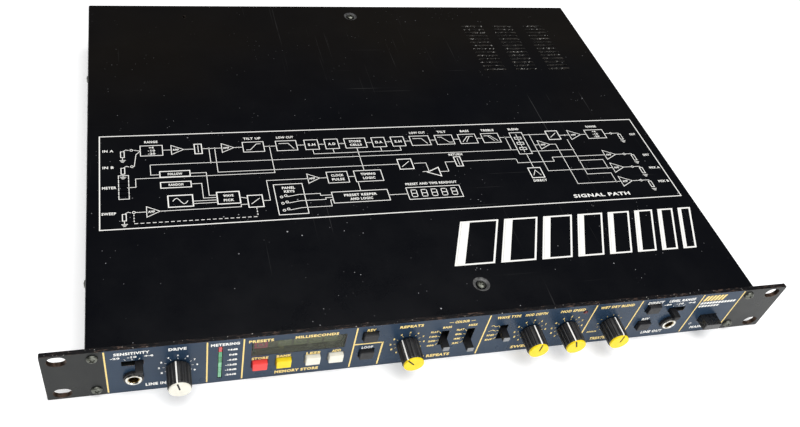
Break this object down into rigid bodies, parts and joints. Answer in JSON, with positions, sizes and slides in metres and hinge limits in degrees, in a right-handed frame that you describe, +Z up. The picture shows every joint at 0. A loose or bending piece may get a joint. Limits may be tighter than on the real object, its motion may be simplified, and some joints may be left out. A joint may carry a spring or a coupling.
{
  "type": "rack effects unit",
  "caption": "One-unit 19-inch rack effects unit with a control panel of knobs, buttons, slide switches and jacks on a flat screwed case.",
  "frame": {"origin": "centre of the bottom of the whole unit, on the surface it rests on", "axes": "+X to the right of someone facing the control panel, +Y to the rear panel, +Z up"},
  "size_m": [0.4826, 0.3676, 0.0444],
  "materials": {
    "case_paint": "satin black enamel, lightly scuffed",
    "panel_paint": "satin dark blue enamel with fine brushed grain, dark grey rack ears",
    "screw_steel": "worn dull plated steel",
    "window_smoked": "smoked translucent acrylic",
    "module_black": "moulded black plastic",
    "lamp_red": "clear red lamp resin",
    "board_green": "green solder mask",
    "transformer_steel": "bare laminated steel",
    "sink_aluminium": "extruded aluminium",
    "socket_black": "moulded black plastic",
    "jack_chrome": "bright nickel plating",
    "pot_metal": "bare plated steel",
    "knob_black": "moulded black plastic, satin",
    "cap_white": "moulded white plastic, slightly yellowed",
    "cap_yellow": "moulded yellow plastic",
    "key_red": "moulded red plastic",
    "key_grey": "moulded dark grey plastic",
    "key_black": "moulded black plastic",
    "lever_black": "moulded black plastic",
    "print_white": "white screen print",
    "print_gold": "pale gold screen print"
  },
  "bodies": {
    "chassis": {"top_cover": "case_paint", "chassis_tray": "case_paint", "rear_panel": "case_paint", "front_panel": "panel_paint", "left_lower_ear_screw": "screw_steel", "left_upper_ear_screw": "screw_steel", "right_lower_ear_screw": "screw_steel", "right_upper_ear_screw": "screw_steel", "front_cover_screw": "screw_steel", "rear_cover_screw": "screw_steel", "display_window": "window_smoked", "display_module": "module_black", "level_meter": "module_black", "mains_switch": "module_black", "rate_light": "lamp_red", "control_board": "board_green", "main_board": "board_green", "mains_transformer": "transformer_steel", "heat_sink": "sink_aluminium", "mains_inlet": "socket_black", "fuse_holder": "socket_black", "input_jack_nut": "socket_black", "output_jack_nut": "socket_black", "input_jack": "jack_chrome", "output_jack": "jack_chrome", "rear_jack_1": "jack_chrome", "rear_jack_2": "jack_chrome", "rear_jack_3": "jack_chrome", "rear_jack_4": "jack_chrome", "rear_jack_5": "jack_chrome", "rear_jack_6": "jack_chrome", "gain_potentiometer": "pot_metal", "repeats_potentiometer": "pot_metal", "depth_potentiometer": "pot_metal", "speed_potentiometer": "pot_metal", "mix_potentiometer": "pot_metal"},
    "gain_control": {"gain_knob": "knob_black", "gain_knob_cap": "cap_white"},
    "repeats_control": {"repeats_knob": "knob_black", "repeats_knob_cap": "cap_yellow"},
    "depth_control": {"depth_knob": "knob_black", "depth_knob_cap": "cap_yellow"},
    "speed_control": {"speed_knob": "knob_black", "speed_knob_cap": "cap_yellow"},
    "mix_control": {"mix_knob": "knob_black", "mix_knob_cap": "cap_yellow"},
    "input_pad_lever": {"input_pad_lever": "lever_black"},
    "output_pad_lever": {"output_pad_lever": "lever_black"},
    "low_tone_lever": {"low_tone_lever": "lever_black"},
    "high_tone_lever": {"high_tone_lever": "lever_black"},
    "wave_shape_lever": {"wave_shape_lever": "lever_black"},
    "store_button": {"store_button": "key_red"},
    "preset_button": {"preset_button": "cap_yellow"},
    "down_button": {"down_button": "cap_white"},
    "up_button": {"up_button": "cap_white"},
    "phase_button": {"phase_button": "key_grey"},
    "freeze_button": {"freeze_button": "key_grey"},
    "direct_button": {"direct_button": "key_grey"},
    "output_phase_button": {"output_phase_button": "key_grey"},
    "power_button": {"power_button": "key_black"}
  },
  "joints": [
    {"name": "gain_turn", "type": "hinge", "parent": "chassis", "child": "gain_control", "pos_m": [-0.1673, -0.16755, 0.02185], "axis": [0, 1, 0], "range_deg": [-138, 162]},
    {"name": "repeats_turn", "type": "hinge", "parent": "chassis", "child": "repeats_control", "pos_m": [-0.0276, -0.16755, 0.02185], "axis": [0, 1, 0], "range_deg": [-108, 192]},
    {"name": "depth_turn", "type": "hinge", "parent": "chassis", "child": "depth_control", "pos_m": [0.0559, -0.16755, 0.02185], "axis": [0, 1, 0], "range_deg": [-153, 147]},
    {"name": "speed_turn", "type": "hinge", "parent": "chassis", "child": "speed_control", "pos_m": [0.0822, -0.16755, 0.02185], "axis": [0, 1, 0], "range_deg": [-130, 170]},
    {"name": "mix_turn", "type": "hinge", "parent": "chassis", "child": "mix_control", "pos_m": [0.1134, -0.16755, 0.02185], "axis": [0, 1, 0], "range_deg": [-158, 142]},
    {"name": "input_pad_slide", "type": "slide", "parent": "chassis", "child": "input_pad_lever", "axis": [1, 0, 0], "range_m": [-0.0072, 0]},
    {"name": "output_pad_slide", "type": "slide", "parent": "chassis", "child": "output_pad_lever", "axis": [1, 0, 0], "range_m": [0, 0.0072]},
    {"name": "low_tone_slide", "type": "slide", "parent": "chassis", "child": "low_tone_lever", "axis": [0, 0, 1], "range_m": [-0.0036, 0.0072]},
    {"name": "high_tone_slide", "type": "slide", "parent": "chassis", "child": "high_tone_lever", "axis": [0, 0, 1], "range_m": [0, 0.0108]},
    {"name": "wave_shape_slide", "type": "slide", "parent": "chassis", "child": "wave_shape_lever", "axis": [0, 0, 1], "range_m": [-0.0072, 0.0036]},
    {"name": "store_press", "type": "slide", "parent": "chassis", "child": "store_button", "axis": [0, 1, 0], "range_m": [0, 0.001], "stiffness_N_per_m": 400, "springref_m": -0.001},
    {"name": "preset_press", "type": "slide", "parent": "chassis", "child": "preset_button", "axis": [0, 1, 0], "range_m": [0, 0.001], "stiffness_N_per_m": 400, "springref_m": -0.001},
    {"name": "down_press", "type": "slide", "parent": "chassis", "child": "down_button", "axis": [0, 1, 0], "range_m": [0, 0.001], "stiffness_N_per_m": 400, "springref_m": -0.001},
    {"name": "up_press", "type": "slide", "parent": "chassis", "child": "up_button", "axis": [0, 1, 0], "range_m": [0, 0.001], "stiffness_N_per_m": 400, "springref_m": -0.001},
    {"name": "phase_press", "type": "slide", "parent": "chassis", "child": "phase_button", "axis": [0, 1, 0], "range_m": [0, 0.001], "stiffness_N_per_m": 400, "springref_m": -0.001},
    {"name": "freeze_press", "type": "slide", "parent": "chassis", "child": "freeze_button", "axis": [0, 1, 0], "range_m": [0, 0.001], "stiffness_N_per_m": 400, "springref_m": -0.001},
    {"name": "direct_press", "type": "slide", "parent": "chassis", "child": "direct_button", "axis": [0, 1, 0], "range_m": [0, 0.001], "stiffness_N_per_m": 400, "springref_m": -0.001},
    {"name": "output_phase_press", "type": "slide", "parent": "chassis", "child": "output_phase_button", "axis": [0, 1, 0], "range_m": [0, 0.001], "stiffness_N_per_m": 400, "springref_m": -0.001},
    {"name": "power_press", "type": "slide", "parent": "chassis", "child": "power_button", "axis": [0, 1, 0], "range_m": [0, 0.003]}
  ]
}
